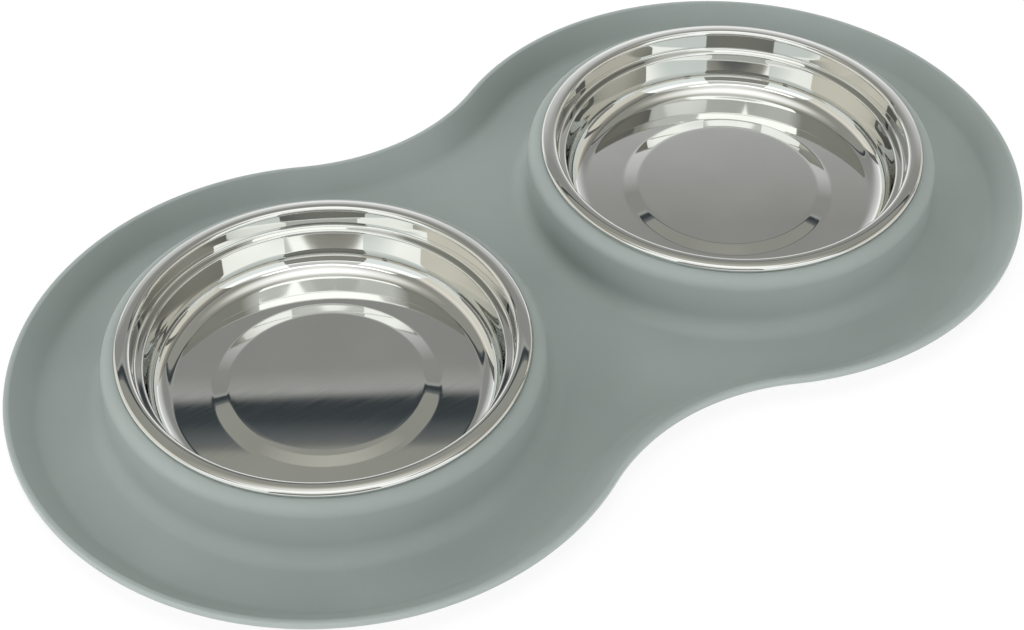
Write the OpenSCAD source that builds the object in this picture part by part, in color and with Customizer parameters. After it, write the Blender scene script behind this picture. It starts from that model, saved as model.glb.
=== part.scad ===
// Double pet bowl: two stamped steel bowls that hang by their rims in a one-piece silicone tray.
// The origin is on the table, midway between the bowls. X runs from the left bowl to the right one.

/* [Layout] */
// Gap between the two rims
bowl_gap = 34.8; // [30:0.1:60]
// Width of the tray from a rim's edge out to the lip's edge
tray_margin = 35.6; // [32:0.1:50]
// Radius of the hollow curve on each long side of the tray
waist_r = 77; // [60:0.5:110]
// Air between the table and the underside of a bowl
bowl_clear = 3.8; // [2.5:0.1:10]

/* [Steel bowl] */
// Diameter over the rim
rim_d = 130; // [100:1:170]
// Thickness of the steel sheet
bowl_t = 0.6; // [0.5:0.05:1]
// Depth from the flange down to the inner floor
bowl_depth = 20.9; // [18:0.1:45]
// Width of the flange, from the rim's edge to the mouth
flange_w = 5.2; // [5:0.1:8]
// How far the flange falls from the mouth to the rim
flange_fall = 0.4; // [0.2:0.05:0.8]
// How far the flange swells above a straight line from the mouth to the rim
flange_crown = 0.3; // [0.1:0.05:0.35]
// Bend radius along the flange's crown
crown_bend = 9; // [4:0.5:10.5]
// Depth of the turned-down edge of the rim
rim_turn = 1.5; // [1.4:0.1:3]
// Bend radius of the turned-down edge
rim_bend = 1.3; // [0.65:0.05:1.5]
// Bend radius where the flange turns down into the bowl
mouth_bend = 1.5; // [0.65:0.05:1.75]
// How much the wall above the step draws in
upper_draft = 0.7; // [0.2:0.1:1.5]
// Depth of the step below the flange
step_depth = 6.8; // [4:0.1:10]
// Width of the step
step_w = 2.7; // [2:0.1:5]
// Bend radius on both sides of the step
step_bend = 0.8; // [0.6:0.05:1.2]
// How much the wall below the step draws in
lower_draft = 1; // [0.5:0.1:4]
// Radius between the wall and the floor
floor_bend = 7; // [3:0.5:10]
// Width of the flat ring of floor inside that radius
ring_w = 12.3; // [8:0.1:20]
// Width of the bevel round the raised disc
bevel_w = 4.9; // [3:0.1:8]
// Height of the raised disc above the floor
disc_rise = 0.7; // [0.4:0.05:1.5]
// Bend radius at both edges of the bevel
bevel_bend = 8; // [0.8:0.1:12]

/* [Silicone tray] */
// Thickness of the silicone
tray_t = 2.4; // [2:0.1:3]
// Height of the lip above the table
lip_h = 9.8; // [7:0.1:14]
// Width of the flat top of the lip
lip_w = 1.9; // [1.5:0.1:3]
// Rounding of the lip's edges
lip_round = 0.6; // [0.3:0.05:0.7]
// Distance from the lip's edge in to the foot of the slope
slope_w = 10.1; // [9:0.1:16]
// Radius at the foot of the slope
slope_bend = 5; // [3.5:0.1:6]
// How far the collar stands out past the rim
collar_out = 4.4; // [3.5:0.1:7]
// How much wider the collar is at its foot
collar_draft = 0.5; // [0.2:0.1:2]
// Radius between the collar and the floor of the tray
collar_bend = 6; // [3:0.1:6.5]
// Rounding of the edge of the hole that a bowl drops into
hole_round = 0.6; // [0.3:0.05:0.9]

/* [Fits] */
// Gap all round between a bowl's wall and the hole
hole_clear = 0.8; // [0.4:0.05:1.5]
// Gap between the rim and the seat that it rests on
seat_gap = 0.15; // [0.1:0.05:0.3]

/* [Hidden] */
$fn = 120;
steel = [0.78, 0.78, 0.77];
silicone = [0.56, 0.59, 0.57];
// Straight pieces that an arc is drawn with
arc_steps = 6;
// Both bowls and both long sides of the tray
sides = [-1, 1];
// How far cuts run past what they cut
over = 1;

// Bowl: radii and heights, from the mouth down
rim_r = rim_d / 2;
mouth_r = rim_r - flange_w;
step_r = mouth_r - upper_draft;
lower_r = step_r - step_w;
floor_r = lower_r - lower_draft;
ring_r = floor_r - floor_bend - ring_w;
disc_r = ring_r - bevel_w;
floor_z = bowl_clear + bowl_t;
flange_z = floor_z + bowl_depth;
rim_z = flange_z - flange_fall;
crown_r = (mouth_r + rim_r) / 2;
crown_z = (flange_z + rim_z) / 2 + flange_crown;
step_z = flange_z - step_depth;

// Tray: the collar's seat, hole and wall, and the floor between them and the lip
seat_z = rim_z - rim_turn - seat_gap;
hole_r = mouth_r + bowl_t + hole_clear;
collar_r = rim_r + collar_out;
collar_foot_r = collar_r + collar_draft;
foot_r = collar_foot_r + collar_bend + tray_t;
lobe_r = rim_r + tray_margin;
floor_inset = slope_w + slope_bend;

// Plan: lobes round the bowls, joined by hollow curves that run on from them
pitch = rim_d + bowl_gap;
waist_y = sqrt(pow(lobe_r + waist_r, 2) - pow(pitch / 2, 2));

// Section lines. Each point is a place across, a height and the bend radius at that corner.
// The sheet lies on the left of the line, seen along it.
bowl_line = [
    [rim_r, rim_z - rim_turn, 0],
    [rim_r, rim_z, rim_bend],
    [crown_r, crown_z, crown_bend],
    [mouth_r, flange_z, mouth_bend],
    [step_r, step_z, step_bend],
    [lower_r, step_z, step_bend],
    [floor_r, floor_z, floor_bend],
    [ring_r, floor_z, bevel_bend],
    [disc_r, floor_z + disc_rise, bevel_bend],
    [0, floor_z + disc_rise, 0]
];
collar_line = [
    [foot_r, tray_t, 0],
    [collar_foot_r, tray_t, collar_bend],
    [collar_r, seat_z, collar_out],
    [hole_r, seat_z, hole_round]
];
// Measured inwards from the lip's edge
lip_line = [
    [floor_inset, tray_t, 0],
    [slope_w, tray_t, slope_bend],
    [lip_w, lip_h, lip_round],
    [0, lip_h, lip_round]
];
// The lip round a lobe, drawn as a radius and run in to the collar's foot
lobe_line = concat(
    [[foot_r, tray_t, 0]],
    [for (i = [1:len(lip_line) - 1]) [lobe_r - lip_line[i][0], lip_line[i][1], lip_line[i][2]]]
);

function across(a, b) = a[0] * b[1] - a[1] * b[0];
function left_of(v) = [-v[1], v[0]];
function turned(v, a) = [v[0] * cos(a) - v[1] * sin(a), v[0] * sin(a) + v[1] * cos(a)];
function place(p) = [p[0], p[1]];
function way(p, q) = let (v = place(q) - place(p)) v / norm(v);

// Where corner b goes when its two sides move left by t
function moved_corner(a, b, c, t) =
    let (u = way(a, b), v = way(b, c))
    place(b) + t * (left_of(u) + left_of(v)) / (1 + u * v);

// The line moved left by t, its bends kept round the same centres
function moved(line, t) = [
    for (i = [0:len(line) - 1])
        let (n = len(line) - 1, b = line[i], a = line[max(i - 1, 0)], c = line[min(i + 1, n)])
            i == 0 ? concat(place(b) + t * left_of(way(b, c)), b[2])
            : i == n ? concat(place(b) + t * left_of(way(a, b)), b[2])
            : concat(moved_corner(a, b, c, t), max(b[2] - t * sign(across(way(a, b), way(b, c))), 0))
];

// The points of the arc that rounds corner b
function bend(a, b, c) =
    let (u = way(a, b), v = way(b, c), s = sign(across(u, v)), turn = acos(max(min(u * v, 1), -1)))
    let (start = place(b) - u * b[2] * tan(turn / 2), centre = start + s * left_of(u) * b[2])
    b[2] == 0 || turn == 0 ? [place(b)]
    : [for (k = [0:arc_steps]) centre + turned(start - centre, s * turn * k / arc_steps)];

function reversed(list) = [for (i = [len(list) - 1:-1:0]) list[i]];

// The outline of a sheet of thickness t on the left of a line, all its corners rounded
function sheet(line, t) =
    let (loop = concat(line, reversed(moved(line, t))), n = len(loop))
    [for (i = [0:n - 1]) each bend(loop[(i + n - 1) % n], loop[i], loop[(i + 1) % n])];

module bowl(side) {
    color(steel)
        translate([side * pitch / 2, 0])
            rotate_extrude()
                polygon(sheet(bowl_line, bowl_t));
}

// The raised ring round one bowl, with the seat for the rim on top
module collar(side) {
    translate([side * pitch / 2, 0])
        rotate_extrude()
            polygon(sheet(collar_line, tray_t));
}

// Everything between the lines from the lobes' centres to the waists' centres
module between(low, high) {
    translate([0, 0, low])
        linear_extrude(high - low)
            polygon([[-pitch / 2, 0], [0, -waist_y], [pitch / 2, 0], [0, waist_y]]);
}

// The floor and lip round the outer side of one bowl
module lobe(side) {
    difference() {
        translate([side * pitch / 2, 0])
            rotate_extrude()
                polygon(sheet(lobe_line, -tray_t));
        between(-over, lip_h + over);
    }
}

// The hollow run of the lip between the lobes, on one long side
module waist(side) {
    intersection() {
        translate([0, side * waist_y])
            rotate_extrude()
                translate([waist_r, 0])
                    polygon(sheet(lip_line, tray_t));
        between(-over, lip_h + over);
    }
}

// The flat floor between the two collars
module middle_floor() {
    difference() {
        between(0, tray_t);
        for (side = sides) {
            translate([side * pitch / 2, 0, -over])
                cylinder(r = foot_r, h = tray_t + 2 * over);
            translate([0, side * waist_y, -over])
                cylinder(r = waist_r + floor_inset, h = tray_t + 2 * over);
        }
    }
}

module tray_mat() {
    color(silicone)
        union() {
            middle_floor();
            for (side = sides) {
                collar(side);
                lobe(side);
                waist(side);
            }
        }
}

module left_bowl() {
    bowl(-1);
}

module right_bowl() {
    bowl(1);
}

tray_mat();
left_bowl();
right_bowl();
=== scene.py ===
import math

import bpy
from mathutils import Matrix, Vector


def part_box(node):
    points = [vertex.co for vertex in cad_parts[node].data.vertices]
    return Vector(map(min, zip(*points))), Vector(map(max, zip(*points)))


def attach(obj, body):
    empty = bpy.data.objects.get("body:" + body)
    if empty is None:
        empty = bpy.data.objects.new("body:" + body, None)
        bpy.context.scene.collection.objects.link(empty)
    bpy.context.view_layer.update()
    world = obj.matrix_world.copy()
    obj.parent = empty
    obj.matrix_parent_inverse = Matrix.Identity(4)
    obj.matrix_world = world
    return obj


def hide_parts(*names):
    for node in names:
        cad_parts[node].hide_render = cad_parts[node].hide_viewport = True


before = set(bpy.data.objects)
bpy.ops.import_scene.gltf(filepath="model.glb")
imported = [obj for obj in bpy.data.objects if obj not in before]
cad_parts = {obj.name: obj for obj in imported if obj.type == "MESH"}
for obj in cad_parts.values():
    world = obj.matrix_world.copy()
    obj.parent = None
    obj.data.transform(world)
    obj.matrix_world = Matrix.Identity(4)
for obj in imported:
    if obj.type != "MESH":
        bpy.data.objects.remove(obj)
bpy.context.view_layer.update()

MM = 0.001


# Camera

CAMERA_PLACE = (-0.3297, -0.4346, 0.5157)
CAMERA_TURN = math.radians(-36.34)
CAMERA_DIP = math.radians(44.06)
CAMERA_ROLL = math.radians(0.51)
CAMERA_LENS = 79.14
CAMERA_SENSOR = 36


def make_camera():
    data = bpy.data.cameras.new("camera")
    data.lens = CAMERA_LENS
    data.sensor_width = CAMERA_SENSOR
    camera = bpy.data.objects.new("camera", data)
    bpy.context.scene.collection.objects.link(camera)
    camera.matrix_world = (
        Matrix.Translation(CAMERA_PLACE)
        @ Matrix.Rotation(CAMERA_TURN, 4, "Z")
        @ Matrix.Rotation(math.pi / 2 - CAMERA_DIP, 4, "X")
        @ Matrix.Rotation(CAMERA_ROLL, 4, "Z")
    )
    bpy.context.scene.camera = camera


# Sizes, the main ones from the frame

bowl_low, bowl_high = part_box("right_bowl")
tray_low, tray_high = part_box("tray_mat")

RIM_R = (bowl_high.x - bowl_low.x) / 2
BOWL_X = (bowl_high.x + bowl_low.x) / 2
BOWL_FOOT = bowl_low.z
LOBE_R = (tray_high.y - tray_low.y) / 2

BOWL_T = 0.6 * MM
BOWL_DEPTH = 20.9 * MM
FLANGE_W = 5.2 * MM
FLANGE_FALL = 0.4 * MM
FLANGE_CROWN = 0.3 * MM
CROWN_BEND = 9 * MM
RIM_TURN = 1.5 * MM
RIM_BEND = 1.3 * MM
RIM_CUT_ROUND = 0.2 * MM
MOUTH_BEND = 1.5 * MM
UPPER_DRAFT = 0.7 * MM
STEP_DEPTH = 6.8 * MM
STEP_W = 2.7 * MM
STEP_BEND = 0.8 * MM
LOWER_DRAFT = 1 * MM
FLOOR_BEND = 7 * MM
RING_W = 12.3 * MM
BEVEL_W = 4.9 * MM
DISC_RISE = 0.7 * MM
BEVEL_BEND = 8 * MM

TRAY_T = 2.4 * MM
LIP_H = 9.8 * MM
LIP_W = 1.9 * MM
LIP_ROUND = 0.6 * MM
SLOPE_W = 10.1 * MM
SLOPE_BEND = 5 * MM
COLLAR_OUT = 4.4 * MM
COLLAR_DRAFT = 0.5 * MM
COLLAR_BEND = 6 * MM
HOLE_ROUND = 0.6 * MM
HOLE_CLEAR = 0.8 * MM
SEAT_GAP = 0.15 * MM
WAIST_R = 77 * MM

MOUTH_R = RIM_R - FLANGE_W
STEP_R = MOUTH_R - UPPER_DRAFT
LOWER_R = STEP_R - STEP_W
FLOOR_R = LOWER_R - LOWER_DRAFT
RING_R = FLOOR_R - FLOOR_BEND - RING_W
DISC_R = RING_R - BEVEL_W
FLOOR_Z = BOWL_FOOT + BOWL_T
FLANGE_Z = FLOOR_Z + BOWL_DEPTH
RIM_Z = FLANGE_Z - FLANGE_FALL
CROWN_R = (MOUTH_R + RIM_R) / 2
CROWN_Z = (FLANGE_Z + RIM_Z) / 2 + FLANGE_CROWN
STEP_Z = FLANGE_Z - STEP_DEPTH
SEAT_Z = RIM_Z - RIM_TURN - SEAT_GAP
HOLE_R = MOUTH_R + BOWL_T + HOLE_CLEAR
COLLAR_R = RIM_R + COLLAR_OUT
COLLAR_FOOT_R = COLLAR_R + COLLAR_DRAFT
FOOT_R = COLLAR_FOOT_R + COLLAR_BEND + TRAY_T
FLOOR_INSET = SLOPE_W + SLOPE_BEND
WAIST_Y = math.sqrt((LOBE_R + WAIST_R) ** 2 - BOWL_X**2)

# Each point is a place across, a height and the bend radius there
BOWL_LINE = [
    (0, FLOOR_Z + DISC_RISE, 0),
    (DISC_R, FLOOR_Z + DISC_RISE, BEVEL_BEND),
    (RING_R, FLOOR_Z, BEVEL_BEND),
    (FLOOR_R, FLOOR_Z, FLOOR_BEND),
    (LOWER_R, STEP_Z, STEP_BEND),
    (STEP_R, STEP_Z, STEP_BEND),
    (MOUTH_R, FLANGE_Z, MOUTH_BEND),
    (CROWN_R, CROWN_Z, CROWN_BEND),
    (RIM_R, RIM_Z, RIM_BEND),
    (RIM_R, RIM_Z - RIM_TURN, RIM_CUT_ROUND),
]
COLLAR_LINE = [
    (FOOT_R, TRAY_T, 0),
    (COLLAR_FOOT_R, TRAY_T, COLLAR_BEND),
    (COLLAR_R, SEAT_Z, COLLAR_OUT),
    (HOLE_R, SEAT_Z, HOLE_ROUND),
]
# Measured inwards from the lip's edge
LIP_LINE = [
    (FLOOR_INSET, TRAY_T, 0),
    (SLOPE_W, TRAY_T, SLOPE_BEND),
    (LIP_W, LIP_H, LIP_ROUND),
    (0, LIP_H, LIP_ROUND),
]

# How finely the bends, the circles and the outline are drawn
ARC_STEP = math.radians(6)
FEWEST_STEPS = 6
TURN_STEPS = 288
OUTLINE_STEP = 2.5 * MM
# A smaller turn than this stays a bare corner
LEAST_TURN = math.radians(0.06)
# Share of a straight stretch that an extra point near each of its ends keeps flat
HOLD_SHARE = 0.05
# Points closer than this are joined
WELD = 0.002 * MM

# The lip's outer face, painted paler than the rest of the tray as painted light, standing in for
# the light that falls on it
LIT_EDGE_MARK = "edge"
LIT_EDGE_W = 0.7 * MM


# Section lines

def place(corner):
    return Vector(corner[:2])


def left_of(way):
    return Vector((-way.y, way.x))


def sheet_section(line, thickness):
    """The outline of a bent sheet on the left of a line, or on its right if thickness is negative.

    It is open at the line's start.
    """
    ways = [(place(b) - place(a)).normalized() for a, b in zip(line, line[1:])]
    other = []
    for i, corner in enumerate(line):
        before, after = ways[max(i - 1, 0)], ways[min(i, len(ways) - 1)]
        shift = (left_of(before) + left_of(after)) / (1 + before.dot(after)) * thickness
        turn = before.cross(after)
        bend = corner[2] - math.copysign(thickness, turn * thickness) if turn else corner[2]
        other.append((corner[0] + shift.x, corner[1] + shift.y, max(bend, 0)))
    return rounded(line + other[::-1])


def rounded(line):
    """An open line with its corners bent, and points that hold each straight stretch flat."""
    bends = [bent(a, b, c) for a, b, c in zip(line, line[1:], line[2:])]
    stops = [[place(line[0])], *bends, [place(line[-1])]]
    points = []
    for this, following in zip(stops, stops[1:]):
        start, end = this[-1], following[0]
        points += this + [start.lerp(end, HOLD_SHARE), start.lerp(end, 1 - HOLD_SHARE)]
    return points + stops[-1]


def bent(before, corner, after):
    """The points of the bend at one corner."""
    into = (place(corner) - place(before)).normalized()
    out = (place(after) - place(corner)).normalized()
    turn = math.atan2(into.cross(out), into.dot(out))
    if corner[2] == 0 or abs(turn) < LEAST_TURN:
        return [place(corner)]
    start = place(corner) - into * corner[2] * math.tan(abs(turn) / 2)
    spoke = -left_of(into) * math.copysign(corner[2], turn)
    steps = max(math.ceil(abs(turn) / ARC_STEP), FEWEST_STEPS)
    return [
        start - spoke + Matrix.Rotation(turn * k / steps, 2) @ spoke for k in range(steps + 1)
    ]


def outline():
    """The lip's outer edge, anticlockwise from above: lobe, hollow waist, lobe, waist."""
    lean = math.atan2(WAIST_Y, BOWL_X)
    runs = [
        ((BOWL_X, 0), LOBE_R, lean - math.pi, math.pi - lean),
        ((0, WAIST_Y), WAIST_R, -lean, lean - math.pi),
        ((-BOWL_X, 0), LOBE_R, lean, 2 * math.pi - lean),
        ((0, -WAIST_Y), WAIST_R, math.pi - lean, lean),
    ]
    points = []
    for centre, radius, start, end in runs:
        steps = math.ceil(abs(end - start) * radius / OUTLINE_STEP)
        for k in range(steps):
            angle = start + (end - start) * k / steps
            points.append(Vector(centre) + radius * Vector((math.cos(angle), math.sin(angle))))
    return points


def drawn(name, points, closed=False):
    """A line of points as an object for a tree to read. It is never in the scene."""
    edges = [(i, i + 1) for i in range(len(points) - 1)]
    if closed:
        edges.append((len(points) - 1, 0))
    mesh = bpy.data.meshes.new(name)
    mesh.from_pydata([(p.x, p.y, 0) for p in points], edges, [])
    return bpy.data.objects.new(name, mesh)


def drawn_section(name, points, path_x):
    """A section line, measured from the path that it is swept along.

    A sweep turns it upside down.
    """
    return drawn(name, [Vector((p.x - path_x, -p.y)) for p in points])


def mark_lit_edge(line, width):
    """Marks the points of a lip's section that are within this width of its outer edge, where
    painted light makes the silicone paler.
    """
    marks = line.data.attributes.new(LIT_EDGE_MARK, "FLOAT", "POINT")
    marks.data.foreach_set("value", [float(v.co.x > -width) for v in line.data.vertices])


# Node trees

def add(tree, kind, sockets=None, **settings):
    """A node with its settings made, and its sockets set or linked by their names."""
    node = tree.nodes.new(kind)
    for title, value in settings.items():
        setattr(node, title, value)
    for title, value in (sockets or {}).items():
        socket = node.inputs[title]
        if isinstance(value, bpy.types.NodeSocket):
            tree.links.new(value, socket)
        else:
            socket.default_value = value
    return node


def start_tree(name, inputs):
    """A Geometry Nodes tree with these named inputs, and the sockets that give them."""
    tree = bpy.data.node_groups.new(name, "GeometryNodeTree")
    tree.interface.new_socket("Geometry", in_out="INPUT", socket_type="NodeSocketGeometry")
    tree.interface.new_socket("Geometry", in_out="OUTPUT", socket_type="NodeSocketGeometry")
    for title, kind in inputs.items():
        tree.interface.new_socket(title, in_out="INPUT", socket_type="NodeSocket" + kind)
    return tree, add(tree, "NodeGroupInput").outputs


def curve_of(tree, line):
    info = add(tree, "GeometryNodeObjectInfo", {"Object": line})
    return add(tree, "GeometryNodeMeshToCurve", {"Mesh": info.outputs["Geometry"]}).outputs[0]


def circle(tree, radius, steps):
    sockets = {"Radius": radius, "Resolution": steps}
    return add(tree, "GeometryNodeCurvePrimitiveCircle", sockets).outputs[0]


def swept(tree, path, section):
    sockets = {"Curve": path, "Profile Curve": section}
    return add(tree, "GeometryNodeCurveToMesh", sockets).outputs[0]


def moved(tree, geometry, **axes):
    """The geometry moved along X, Y or Z."""
    way = add(tree, "ShaderNodeCombineXYZ", axes).outputs[0]
    sockets = {"Geometry": geometry, "Translation": way}
    return add(tree, "GeometryNodeTransform", sockets).outputs[0]


def minus(tree, value):
    return add(tree, "ShaderNodeMath", {0: 0.0, 1: value}, operation="SUBTRACT").outputs[0]


def joined(tree, *parts):
    join = add(tree, "GeometryNodeJoinGeometry")
    for part in parts:
        tree.links.new(part, join.inputs[0])
    return join.outputs[0]


def finish_tree(tree, geometry, weld, material):
    """Welds the mesh, smooths it, makes it real and gives it its material."""
    sockets = {"Geometry": geometry, "Distance": weld}
    welded = add(tree, "GeometryNodeMergeByDistance", sockets).outputs[0]
    smooth = add(tree, "GeometryNodeSetShadeSmooth", {"Geometry": welded}).outputs[0]
    real = add(tree, "GeometryNodeRealizeInstances", {"Geometry": smooth}).outputs[0]
    sockets = {"Geometry": real, "Material": material}
    dressed = add(tree, "GeometryNodeSetMaterial", sockets).outputs[0]
    add(tree, "NodeGroupOutput", {"Geometry": dressed})


def bowl_tree():
    """One sheet's section turned round a bowl's axis."""
    tree, given = start_tree(
        "stamped_bowl",
        {
            "Section": "Object",
            "Rim radius": "Float",
            "Turn steps": "Int",
            "Bowl x": "Float",
            "Weld": "Float",
            "Steel": "Material",
        },
    )
    rim = circle(tree, given["Rim radius"], given["Turn steps"])
    sheet = swept(tree, rim, curve_of(tree, given["Section"]))
    finish_tree(tree, moved(tree, sheet, X=given["Bowl x"]), given["Weld"], given["Steel"])
    return tree


def tray_tree():
    """The lip run along the outline, a collar round each hole, and the floor between them."""
    tree, given = start_tree(
        "moulded_tray",
        {
            "Outline": "Object",
            "Lip section": "Object",
            "Collar section": "Object",
            "Collar foot radius": "Float",
            "Turn steps": "Int",
            "Bowl x": "Float",
            "Floor inset": "Float",
            "Floor thickness": "Float",
            "Weld": "Float",
            "Silicone": "Material",
        },
    )
    edge = curve_of(tree, given["Outline"])
    lip = swept(tree, edge, curve_of(tree, given["Lip section"]))
    foot = circle(tree, given["Collar foot radius"], given["Turn steps"])
    collar = swept(tree, foot, curve_of(tree, given["Collar section"]))
    out = add(tree, "GeometryNodeInputNormal").outputs[0]
    inwards = add(tree, "ShaderNodeVectorMath", {"Vector": out}, operation="SCALE")
    tree.links.new(minus(tree, given["Floor inset"]), inwards.inputs["Scale"])
    sockets = {"Geometry": edge, "Offset": inwards.outputs[0]}
    floor_edge = add(tree, "GeometryNodeSetPosition", sockets).outputs[0]
    bowls = (given["Bowl x"], minus(tree, given["Bowl x"]))
    feet = [moved(tree, foot, X=x) for x in bowls]
    collars = [moved(tree, collar, X=x) for x in bowls]
    sockets = {"Curve": joined(tree, floor_edge, *feet)}
    underside = add(tree, "GeometryNodeFillCurve", sockets).outputs[0]
    top = moved(tree, underside, Z=given["Floor thickness"])
    bottom = add(tree, "GeometryNodeFlipFaces", {"Mesh": underside}).outputs[0]
    whole = joined(tree, lip, *collars, top, bottom)
    finish_tree(tree, whole, given["Weld"], given["Silicone"])
    return tree


def grown(name, tree, values):
    """A plain mesh object made by a tree with these inputs."""
    seed = bpy.data.objects.new(name, bpy.data.meshes.new(name))
    bpy.context.scene.collection.objects.link(seed)
    modifier = seed.modifiers.new(name, "NODES")
    modifier.node_group = tree
    sockets = {s.name: s.identifier for s in tree.interface.items_tree if s.in_out == "INPUT"}
    for title, value in values.items():
        modifier[sockets[title]] = value
    graph = bpy.context.evaluated_depsgraph_get()
    mesh = bpy.data.meshes.new_from_object(seed.evaluated_get(graph), depsgraph=graph)
    seed.modifiers.remove(modifier)
    seed.data = mesh
    return seed


# Materials

WHITE = (1, 1, 1, 1)
SILICONE_DARK = (0.255, 0.292, 0.278)
SILICONE_LIGHT = (0.285, 0.325, 0.308)
# Painted light: the paler colour of the lip's outer face
SILICONE_EDGE_LIGHT = (0.335, 0.376, 0.36)
STEEL_DARK = (0.765, 0.775, 0.75)
STEEL_LIGHT = (0.82, 0.83, 0.805)
# How strongly the steel mirrors where it is seen almost along its face
STEEL_GRAZED = (0.6, 0.6, 0.6)
# Each pattern's features per metre, and how many finer layers it has
SILICONE_CLOUD = (18, 3)
SILICONE_GRAIN = (2200, 2)
STEEL_CLOUD = (40, 2)
STEEL_WAVES = (22, 1)
STEEL_WIPES = (60, 4)
# The wiping marks are long and thin, and lie askew
WIPE_STRETCH = (1, 14, 1)
WIPE_TURN = (0, 0, math.radians(35))
# The span of the noise that goes from a pattern's dark end to its light end
NOISE_LOW = 0.3
NOISE_HIGH = 0.7
SILICONE_ROUGHNESS = (0.52, 0.6)
SILICONE_SHEEN = 0.08
SHEEN_ROUGHNESS = 0.5
STEEL_ROUGHNESS = (0.02, 0.04)
GRAIN_DEPTH = 0.03 * MM
WAVE_DEPTH = 0.02 * MM
WIPE_DEPTH = 0.0001 * MM


def start_material(name):
    """A material, its tree, its shader and the Object coordinates that its patterns lie on."""
    material = bpy.data.materials.new(name)
    material.use_nodes = True
    tree = material.node_tree
    shader = tree.nodes["Principled BSDF"]
    spot = add(tree, "ShaderNodeTexCoord").outputs["Object"]
    return material, tree, shader, spot


def noise(tree, spot, pattern, stretch=(1, 1, 1), turn=(0, 0, 0)):
    """A pattern's noise, squeezed and turned before it is laid."""
    mapping = {"Vector": spot, "Scale": stretch, "Rotation": turn}
    laid = add(tree, "ShaderNodeMapping", mapping).outputs[0]
    sockets = {"Vector": laid, "Scale": pattern[0], "Detail": pattern[1]}
    return add(tree, "ShaderNodeTexNoise", sockets).outputs[0]


def between(tree, factor, low, high, start=NOISE_LOW, stop=NOISE_HIGH):
    """A number that goes from low to high as a factor goes from start to stop."""
    sockets = {
        "Value": factor,
        "From Min": start,
        "From Max": stop,
        "To Min": low,
        "To Max": high,
    }
    return add(tree, "ShaderNodeMapRange", sockets).outputs[0]


def ramp(tree, factor, stops):
    """A colour ramp from stops, each a place from 0 to 1 and a colour."""
    node = add(tree, "ShaderNodeValToRGB", {"Fac": factor})
    elements = node.color_ramp.elements
    elements[0].position, elements[0].color = stops[0][0], (*stops[0][1], 1)
    elements[1].position, elements[1].color = stops[-1][0], (*stops[-1][1], 1)
    for spot, colour in stops[1:-1]:
        elements.new(spot).color = (*colour, 1)
    return node.outputs[0]


def blend(tree, factor, first, second):
    """Two colours mixed by a factor."""
    sockets = {0: factor, 6: first, 7: second}
    return add(tree, "ShaderNodeMix", sockets, data_type="RGBA").outputs[2]


def bump(tree, height, depth, below=None):
    """A bump of this depth, laid over the one below it."""
    sockets = {"Height": height, "Distance": depth}
    if below:
        sockets["Normal"] = below
    return add(tree, "ShaderNodeBump", sockets).outputs[0]


def silicone():
    """Matte moulded rubber with a fine grain and a trace of dust, and painted light that makes the
    lip's outer face paler.
    """
    material, tree, shader, spot = start_material("silicone")
    cloud = noise(tree, spot, SILICONE_CLOUD)
    grain = noise(tree, spot, SILICONE_GRAIN)
    tint = ramp(tree, cloud, [(NOISE_LOW, SILICONE_DARK), (NOISE_HIGH, SILICONE_LIGHT)])
    # Painted light makes the lip's outer face paler
    edge = add(tree, "ShaderNodeAttribute", attribute_name=LIT_EDGE_MARK).outputs["Fac"]
    skin_with_edge_light = blend(tree, edge, tint, (*SILICONE_EDGE_LIGHT, 1))
    tree.links.new(skin_with_edge_light, shader.inputs["Base Color"])
    tree.links.new(between(tree, cloud, *SILICONE_ROUGHNESS), shader.inputs["Roughness"])
    tree.links.new(bump(tree, grain, GRAIN_DEPTH), shader.inputs["Normal"])
    shader.inputs["Sheen Weight"].default_value = SILICONE_SHEEN
    shader.inputs["Sheen Roughness"].default_value = SHEEN_ROUGHNESS
    return material


def steel():
    """Mirror-polished sheet, slightly uneven from pressing, with fine wiping marks."""
    material, tree, shader, spot = start_material("polished_steel")
    cloud = noise(tree, spot, STEEL_CLOUD)
    waves = noise(tree, spot, STEEL_WAVES)
    wipes = noise(tree, spot, STEEL_WIPES, WIPE_STRETCH, WIPE_TURN)
    tint = ramp(tree, cloud, [(NOISE_LOW, STEEL_DARK), (NOISE_HIGH, STEEL_LIGHT)])
    tree.links.new(tint, shader.inputs["Base Color"])
    tree.links.new(between(tree, wipes, *STEEL_ROUGHNESS), shader.inputs["Roughness"])
    wiped = bump(tree, wipes, WIPE_DEPTH, bump(tree, waves, WAVE_DEPTH))
    tree.links.new(wiped, shader.inputs["Normal"])
    shader.inputs["Metallic"].default_value = 1
    shader.inputs["Specular Tint"].default_value = (*STEEL_GRAZED, 1)
    return material


# Pieces

def make_bowl(name, x, tree, section, finish):
    values = {
        "Section": section,
        "Rim radius": RIM_R,
        "Turn steps": TURN_STEPS,
        "Bowl x": x,
        "Weld": WELD,
        "Steel": finish,
    }
    piece = grown(name + "_steel", tree, values)
    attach(piece, name)
    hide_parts(name)


def make_bowls():
    tree = bowl_tree()
    section = drawn_section("bowl_section", sheet_section(BOWL_LINE, -BOWL_T), RIM_R)
    finish = steel()
    make_bowl("left_bowl", -BOWL_X, tree, section, finish)
    make_bowl("right_bowl", BOWL_X, tree, section, finish)


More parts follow.
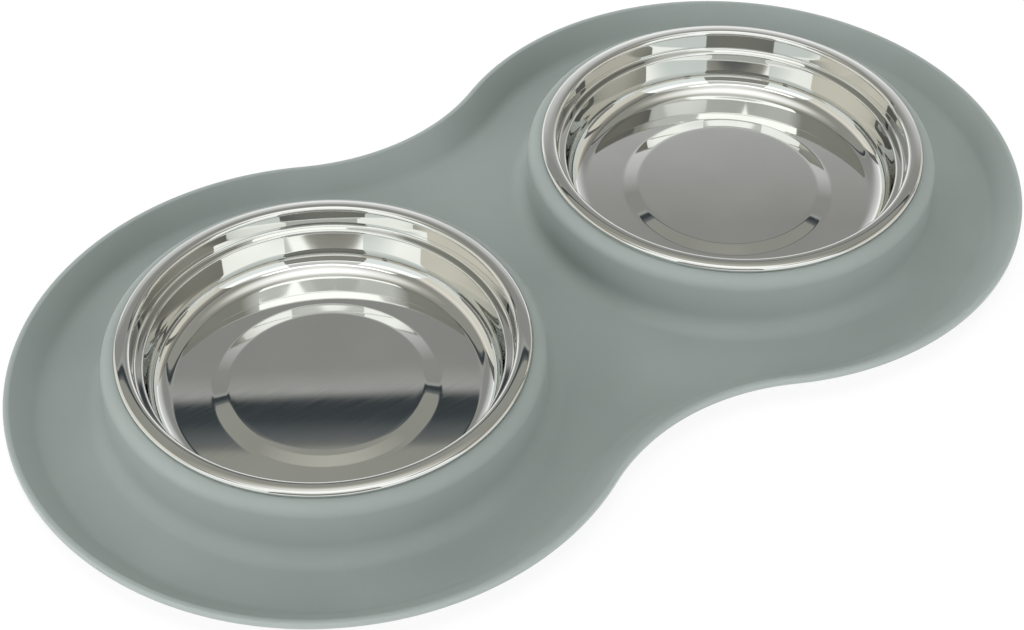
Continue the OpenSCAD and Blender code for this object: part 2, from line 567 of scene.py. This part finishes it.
def make_tray():
    # The lip's line is measured inwards, and the sweep measures outwards
    lip_points = [Vector((-p.x, p.y)) for p in sheet_section(LIP_LINE, TRAY_T)]
    lip = drawn_section("lip_section", lip_points, 0)
    mark_lit_edge(lip, LIT_EDGE_W)
    collar_points = sheet_section(COLLAR_LINE, TRAY_T)[::-1]
    values = {
        "Outline": drawn("outline", outline(), closed=True),
        "Lip section": lip,
        "Collar section": drawn_section("collar_section", collar_points, FOOT_R),
        "Collar foot radius": FOOT_R,
        "Turn steps": TURN_STEPS,
        "Bowl x": BOWL_X,
        "Floor inset": FLOOR_INSET,
        "Floor thickness": TRAY_T,
        "Weld": WELD,
        "Silicone": silicone(),
    }
    piece = grown("tray_silicone", tray_tree(), values)
    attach(piece, "tray")
    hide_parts("tray_mat")


# Studio

# Azimuth from the part towards the back wall of the studio
BACK_TURN = math.radians(57)
# Colours of the ceiling by its angle above the horizon, in degrees
CEILING_NEAR = [
    (0, (0.65, 0.65, 0.64)),
    (48, (0.66, 0.66, 0.65)),
    (56, (0.85, 0.85, 0.84)),
    (75, (1.05, 1.05, 1.04)),
    (85, (1.3, 1.3, 1.3)),
]
CEILING_FAR = [
    (0, (0.31, 0.31, 0.28)),
    (50, (0.32, 0.32, 0.29)),
    (57, (0.31, 0.31, 0.28)),
    (60, (0.38, 0.375, 0.34)),
    (64, (0.49, 0.48, 0.43)),
    (69, (0.85, 0.84, 0.81)),
    (81, (1.3, 1.3, 1.3)),
]
# Colours of each wall by its height above its foot, in metres
SOFTBOX = [
    (0, (0.88, 0.9, 0.9)),
    (0.48, (0.92, 0.97, 0.97)),
    (0.54, (1.4, 1.4, 1.38)),
    (0.75, (1.3, 1.3, 1.28)),
    (0.9, (0.9, 0.9, 0.88)),
]
CAMERA_GAP = [
    (0, (0.15, 0.15, 0.15)),
    (0.09, (0.16, 0.16, 0.16)),
    (0.12, (0.24, 0.24, 0.22)),
    (0.36, (0.29, 0.285, 0.26)),
    (0.4, (0.24, 0.24, 0.23)),
    (0.443, (0.155, 0.16, 0.165)),
    (0.453, (0.38, 0.37, 0.34)),
    (0.468, (0.4, 0.39, 0.36)),
    (0.477, (0.7, 0.7, 0.68)),
    (0.481, (1.5, 1.5, 1.48)),
    (0.512, (1.5, 1.5, 1.48)),
    (0.519, (0.85, 0.85, 0.84)),
    (0.7, (0.62, 0.62, 0.61)),
    (0.9, (0.62, 0.62, 0.61)),
]
RIGHT_WALL = [
    (0, (0.6, 0.59, 0.55)),
    (0.2, (0.74, 0.71, 0.63)),
    (0.45, (0.7, 0.67, 0.6)),
    (0.52, (0.4, 0.39, 0.35)),
    (0.65, (0.29, 0.28, 0.25)),
    (0.95, (0.16, 0.155, 0.145)),
]
LEFT_WALL = [
    (0, (0.85, 0.84, 0.79)),
    (0.45, (0.76, 0.74, 0.67)),
    (0.55, (0.9, 0.85, 0.76)),
    (0.68, (0.82, 0.78, 0.7)),
    (0.8, (0.5, 0.49, 0.46)),
    (0.95, (0.25, 0.245, 0.23)),
]
BACK_WALL = [
    (0, (1.05, 1.05, 1.05)),
    (0.32, (1.1, 1.1, 1.1)),
    (0.43, (0.75, 0.75, 0.75)),
    (0.6, (0.57, 0.57, 0.565)),
    (0.66, (0.46, 0.46, 0.455)),
    (0.73, (0.35, 0.35, 0.34)),
    (0.765, (0.3, 0.3, 0.29)),
    (0.925, (0.29, 0.29, 0.28)),
    (0.953, (0.4, 0.4, 0.39)),
    (0.964, (0.04, 0.047, 0.053)),
    (0.99, (0.05, 0.06, 0.066)),
    (1.014, (0.13, 0.14, 0.145)),
    (1.022, (0.16, 0.165, 0.16)),
    (1.03, (0.3, 0.3, 0.275)),
]
STRIP = [(0, (1.6, 1.6, 1.58)), (0.25, (1.6, 1.6, 1.58))]
POST = [(0, (0.13, 0.13, 0.125)), (0.5, (0.16, 0.16, 0.155))]
# Each wall's foot from start to end, in metres, and its colours
WALLS = [
    ("softbox_front", (-0.198, -0.73, 0), (0.442, -0.807, 0), SOFTBOX),
    ("right_wall", (0.442, -0.807, 0), (1.103, 0.321, 0), RIGHT_WALL),
    ("back_wall", (1.103, 0.321, 0), (-0.197, 1.165, 0), BACK_WALL),
    ("left_wall", (-0.197, 1.165, 0), (-0.95, 0.12, 0), LEFT_WALL),
    ("softbox_left", (-0.95, 0.12, 0), (-0.654, -0.343, 0), SOFTBOX),
    ("camera_gap", (-0.654, -0.343, 0), (-0.198, -0.73, 0), CAMERA_GAP),
    ("strip_end", (-0.67, 0.06, 0.91), (-0.58, -0.155, 0.83), STRIP),
    ("strip_left", (-0.58, -0.155, 0.83), (-0.439, -0.409, 0.772), STRIP),
    ("strip_middle", (-0.439, -0.409, 0.772), (-0.195, -0.567, 0.785), STRIP),
    ("strip_right", (-0.195, -0.567, 0.785), (0.094, -0.593, 0.845), STRIP),
    ("post_left", (-0.2, 1.15, 0.28), (-0.3, 1.01, 0.28), POST),
    ("post_right", (0.79, -0.19, 0.1), (0.83, -0.12, 0.1), POST),
]
# The ceiling goes from near to far between these cosines of the angle to the back wall
CEILING_NEAR_END = -0.42
CEILING_FAR_START = -0.3
# Soft suns that light the paint but aren't seen in the steel: each one's azimuth and
# elevation in degrees, and its strength
SUNS = [
    ("sun_top", 0, 90, 1.05),
    ("sun_left", 180, 15, 1.42),
    ("sun_front", -95, 15, 1.15),
    ("sun_front_right", -45, 15, 0.42),
    ("sun_back_right", 45, 15, 0.35),
    ("sun_back", 90, 42, 0.5),
    ("sun_back_left", 135, 25, 0.65),
]
SUN_SPREAD = math.radians(35)
# Plain light from all round
SKY_LEVEL = 0.27
# The floor's half width in metres, how far it lies under the part so that their faces don't
# meet, its paint, and the glow that whitens it
FLOOR_HALF = 6
FLOOR_DROP = 0.1 * MM
FLOOR_PAINT = (0.15, 0.15, 0.15, 1)
FLOOR_GLOW = 0.87


def emission(tree, colour, strength=1):
    return add(tree, "ShaderNodeEmission", {"Color": colour, "Strength": strength}).outputs[0]


def wall_paint(name, stops, foot):
    """Light that changes with the height above a wall's foot."""
    material = bpy.data.materials.new(name)
    material.use_nodes = True
    tree = material.node_tree
    tree.nodes.clear()
    spot = add(tree, "ShaderNodeTexCoord").outputs["Object"]
    up = add(tree, "ShaderNodeSeparateXYZ", {"Vector": spot}).outputs["Z"]
    height = stops[-1][0]
    share = between(tree, up, 0, 1, foot, foot + height)
    paint = ramp(tree, share, [(z / height, colour) for z, colour in stops])
    add(tree, "ShaderNodeOutputMaterial", {"Surface": emission(tree, paint)})
    return material


def make_wall(name, start, end, stops):
    """One glowing wall of the studio. The camera doesn't see it."""
    start, end, up = Vector(start), Vector(end), Vector((0, 0, stops[-1][0]))
    mesh = bpy.data.meshes.new(name)
    mesh.from_pydata([start, end, end + up, start + up], [], [(0, 1, 2, 3)])
    mesh.materials.append(wall_paint(name, stops, min(start.z, end.z)))
    wall = bpy.data.objects.new(name, mesh)
    bpy.context.scene.collection.objects.link(wall)
    wall.visible_camera = wall.visible_diffuse = wall.visible_shadow = False


def mixed(tree, factor, first, second):
    """Shaders mixed by a factor."""
    sockets = {0: factor, 1: first, 2: second}
    return add(tree, "ShaderNodeMixShader", sockets).outputs[0]


def make_floor():
    """A white sheet that keeps the part's faint shadow, and isn't seen from below."""
    mesh = bpy.data.meshes.new("floor")
    quarters = ((-1, -1), (1, -1), (1, 1), (-1, 1))
    corners = [(x * FLOOR_HALF, y * FLOOR_HALF, -FLOOR_DROP) for x, y in quarters]
    mesh.from_pydata(corners, [], [(0, 1, 2, 3)])
    material = bpy.data.materials.new("floor")
    material.use_nodes = True
    tree = material.node_tree
    tree.nodes.clear()
    ray = add(tree, "ShaderNodeLightPath").outputs
    sheet = add(tree, "ShaderNodeBsdfDiffuse", {"Color": FLOOR_PAINT}).outputs[0]
    glow = emission(tree, WHITE, FLOOR_GLOW)
    seen = add(tree, "ShaderNodeAddShader", {0: sheet, 1: glow}).outputs[0]
    lit = emission(tree, WHITE)
    top = mixed(tree, ray["Is Camera Ray"], lit, seen)
    below = add(tree, "ShaderNodeNewGeometry").outputs["Backfacing"]
    clear = add(tree, "ShaderNodeBsdfTransparent").outputs[0]
    shown = mixed(tree, below, top, clear)
    add(tree, "ShaderNodeOutputMaterial", {"Surface": shown})
    mesh.materials.append(material)
    floor = bpy.data.objects.new("floor", mesh)
    bpy.context.scene.collection.objects.link(floor)


def background(tree, colour, strength=1):
    return add(tree, "ShaderNodeBackground", {"Color": colour, "Strength": strength}).outputs[0]


def make_world():
    """White to the camera, plain light to the paint, and to the steel a two-toned ceiling."""
    world = bpy.data.worlds.new("studio")
    world.use_nodes = True
    bpy.context.scene.world = world
    tree = world.node_tree
    tree.nodes.clear()
    way = add(tree, "ShaderNodeTexCoord").outputs["Generated"]
    up = add(tree, "ShaderNodeSeparateXYZ", {"Vector": way}).outputs["Z"]
    rise = add(tree, "ShaderNodeMath", {0: up}, operation="ARCSINE").outputs[0]
    share = between(tree, rise, 0, 1, 0, math.pi / 2)
    near, far = (
        ramp(tree, share, [(degrees / 90, colour) for degrees, colour in stops])
        for stops in (CEILING_NEAR, CEILING_FAR)
    )
    back = (math.cos(BACK_TURN), math.sin(BACK_TURN), 0)
    facing = add(tree, "ShaderNodeVectorMath", {0: way, 1: back}, operation="DOT_PRODUCT")
    backness = between(
        tree, facing.outputs["Value"], 0, 1, CEILING_NEAR_END, CEILING_FAR_START
    )
    ceiling = blend(tree, backness, near, far)
    ray = add(tree, "ShaderNodeLightPath").outputs
    plain = background(tree, WHITE, SKY_LEVEL)
    light = mixed(tree, ray["Is Glossy Ray"], plain, background(tree, ceiling))
    shown = mixed(tree, ray["Is Camera Ray"], light, background(tree, WHITE))
    add(tree, "ShaderNodeOutputWorld", {"Surface": shown})


def make_sun(name, azimuth, elevation, strength):
    """A soft sun, which the steel doesn't show."""
    data = bpy.data.lights.new(name, "SUN")
    data.angle = SUN_SPREAD
    data.energy = strength
    sun = bpy.data.objects.new(name, data)
    bpy.context.scene.collection.objects.link(sun)
    tilt = math.radians(90 - elevation)
    sun.rotation_euler = (0, tilt, math.radians(azimuth))
    sun.visible_glossy = False


def make_studio():
    make_world()
    make_floor()
    for wall in WALLS:
        make_wall(*wall)
    for sun in SUNS:
        make_sun(*sun)


make_camera()
make_bowls()
make_tray()
make_studio()
bpy.context.scene.view_settings.view_transform = "Standard"
